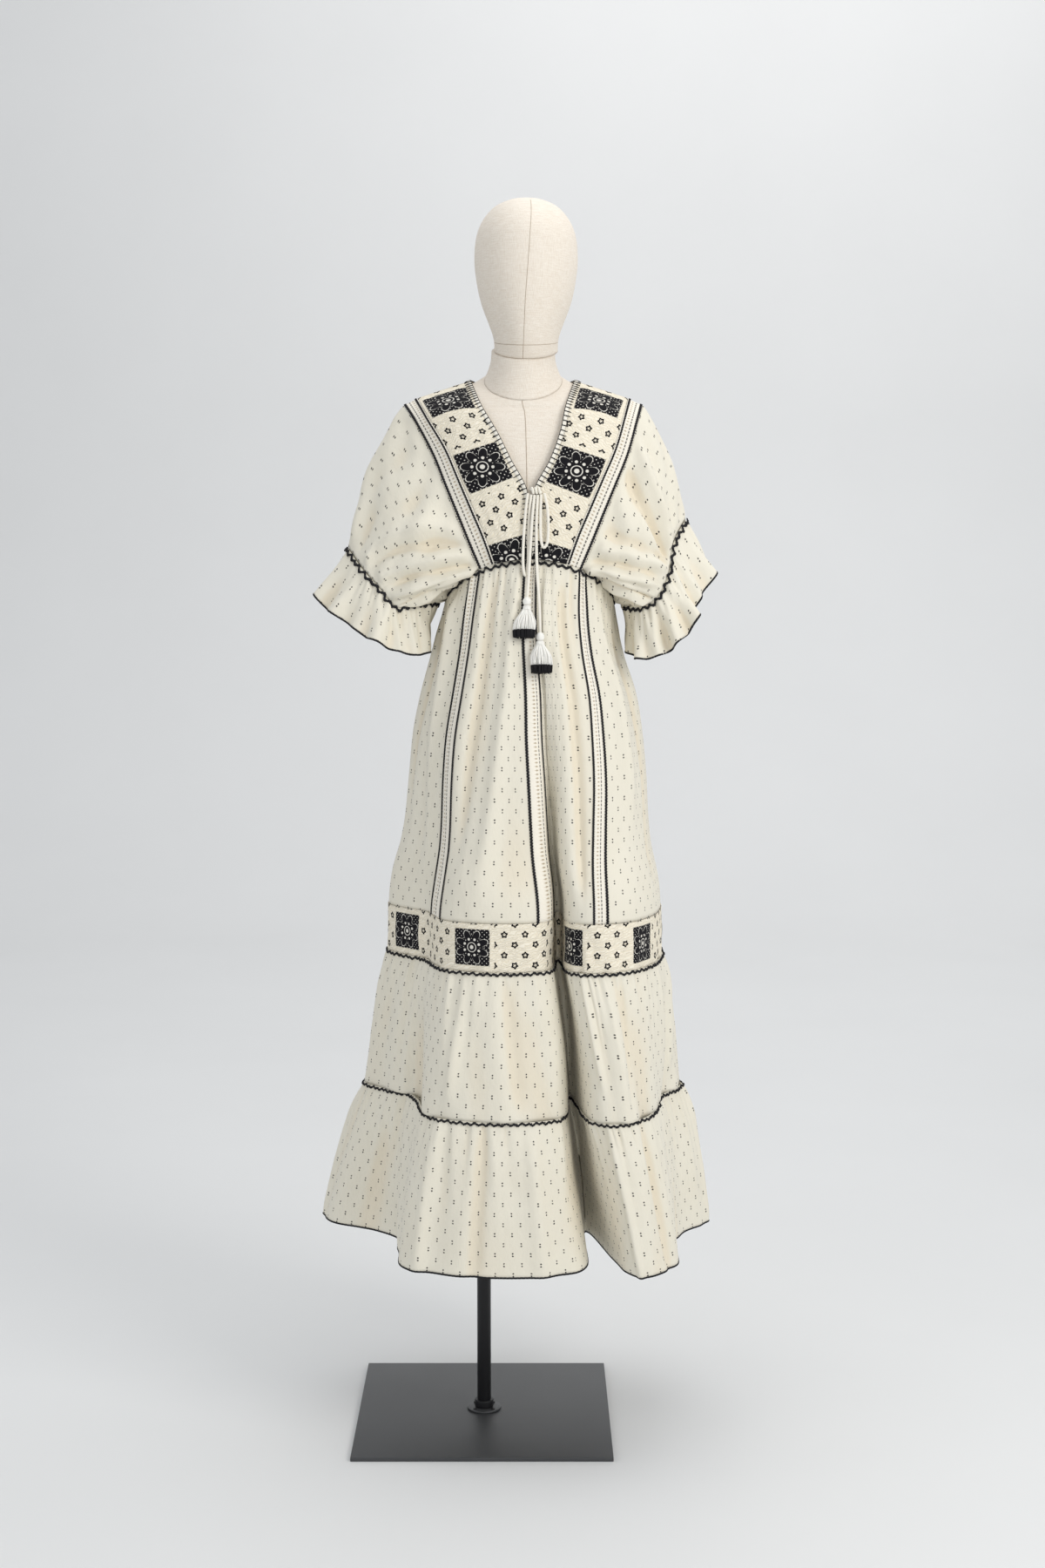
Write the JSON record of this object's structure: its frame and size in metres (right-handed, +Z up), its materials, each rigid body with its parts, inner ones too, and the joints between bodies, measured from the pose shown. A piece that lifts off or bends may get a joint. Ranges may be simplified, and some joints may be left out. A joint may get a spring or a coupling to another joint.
{
  "type": "peasant dress on a dress form",
  "caption": "Long tiered cotton dress with wide ruffled kimono sleeves, V neck, lace strips and tasselled drawstring, on a limbless dress form with a pole and square plate.",
  "frame": {"origin": "centre of the base plate's underside, on the pole's axis", "axes": "+Z up; the wearer faces -Y, so the wearer's right is at -X"},
  "size_m": [0.6206, 0.5159, 1.909],
  "materials": {
    "cotton": "matt woven cotton with small dark dots",
    "embroidered": "crinkled cotton with dark embroidery",
    "lace": "openwork lace",
    "braid": "matt crochet braid",
    "cord": "matt twisted cotton",
    "linen": "matt linen cover",
    "steel": "satin powder coat"
  },
  "bodies": {
    "root": {"back_yoke": "cotton", "band_braid": "braid", "base_plate": "steel", "bow_knot": "cord", "bow_loop_left": "cord", "bow_loop_right": "cord", "drawstring_left": "cord", "drawstring_right": "cord", "embroidered_band": "embroidered", "form_head": "linen", "form_neck": "linen", "form_torso": "linen", "front_yoke_left": "embroidered", "front_yoke_right": "embroidered", "hem_edge": "braid", "lower_tier": "cotton", "middle_tier": "cotton", "neck_binding": "embroidered", "pole": "steel", "pole_flange": "steel", "skirt_back": "cotton", "skirt_braid_centre_inner": "braid", "skirt_braid_centre_outer": "braid", "skirt_braid_left_inner": "braid", "skirt_braid_left_outer": "braid", "skirt_braid_right_inner": "braid", "skirt_braid_right_outer": "braid", "skirt_front_left": "cotton", "skirt_front_right": "cotton", "skirt_lace_centre": "lace", "skirt_lace_left": "lace", "skirt_lace_right": "lace", "sleeve_braid_left": "braid", "sleeve_braid_right": "braid", "sleeve_edge_left": "braid", "sleeve_edge_right": "braid", "sleeve_left": "cotton", "sleeve_right": "cotton", "sleeve_ruffle_left": "cotton", "sleeve_ruffle_right": "cotton", "tassel_bead_left": "cord", "tassel_bead_right": "cord", "tassel_left": "cord", "tassel_right": "cord", "tassel_tip_left": "braid", "tassel_tip_right": "braid", "tier_braid": "braid", "waist_braid": "braid", "yoke_braid_left_inner": "braid", "yoke_braid_left_outer": "braid", "yoke_braid_right_inner": "braid", "yoke_braid_right_outer": "braid", "yoke_lace_left": "lace", "yoke_lace_right": "lace"}
  },
  "joints": []
}
